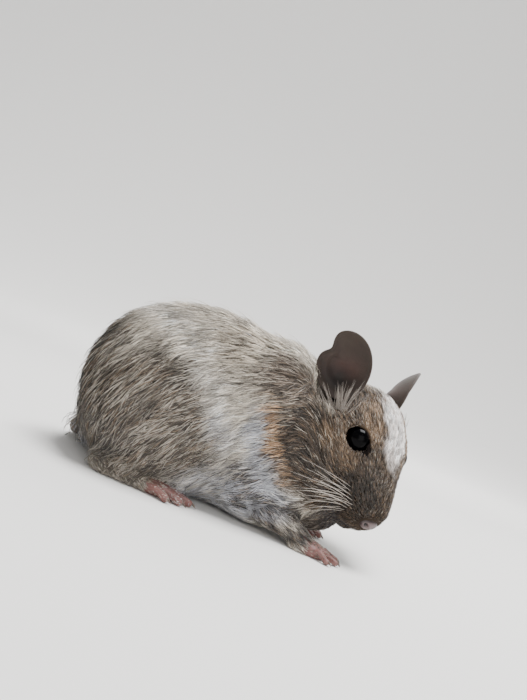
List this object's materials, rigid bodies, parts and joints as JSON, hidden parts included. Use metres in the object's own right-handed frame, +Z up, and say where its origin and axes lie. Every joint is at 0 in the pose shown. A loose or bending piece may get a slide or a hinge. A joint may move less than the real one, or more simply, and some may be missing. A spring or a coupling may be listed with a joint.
{
  "type": "degu",
  "caption": "Degu at rest in a low crouch, head lowered and turned to its right, round cupped ears, tail curled round its far side to a dark brush.",
  "frame": {"origin": "middle of the part's footprint on the floor it rests on", "axes": "+X along the body towards the head, +Y to the animal's left, +Z up"},
  "size_m": [0.1248, 0.0808, 0.0781],
  "materials": {
    "body_fur": "soft matte fur, pale with brown-grey patches",
    "head_fur": "short matte agouti fur with a white blaze",
    "nose": "bare skin, slightly moist",
    "paws": "thin pink skin with sparse short hair",
    "ears": "thin matte skin with fine down",
    "eyes": "glossy black",
    "tail": "short bristly hair over scaly skin",
    "tail_brush": "long coarse dark hair"
  },
  "bodies": {
    "root": {"head": "head_fur", "nose": "nose", "neck": "body_fur", "torso": "body_fur", "right_upper_arm": "body_fur", "left_upper_arm": "body_fur", "right_forearm": "body_fur", "left_forearm": "body_fur", "right_thigh": "body_fur", "left_thigh": "body_fur", "right_forepaw": "paws", "left_forepaw": "paws", "right_hind_foot": "paws", "left_hind_foot": "paws", "right_ear": "ears", "left_ear": "ears", "right_eye": "eyes", "left_eye": "eyes", "tail_base": "tail", "tail_middle": "tail", "tail_brush": "tail_brush"}
  },
  "joints": []
}
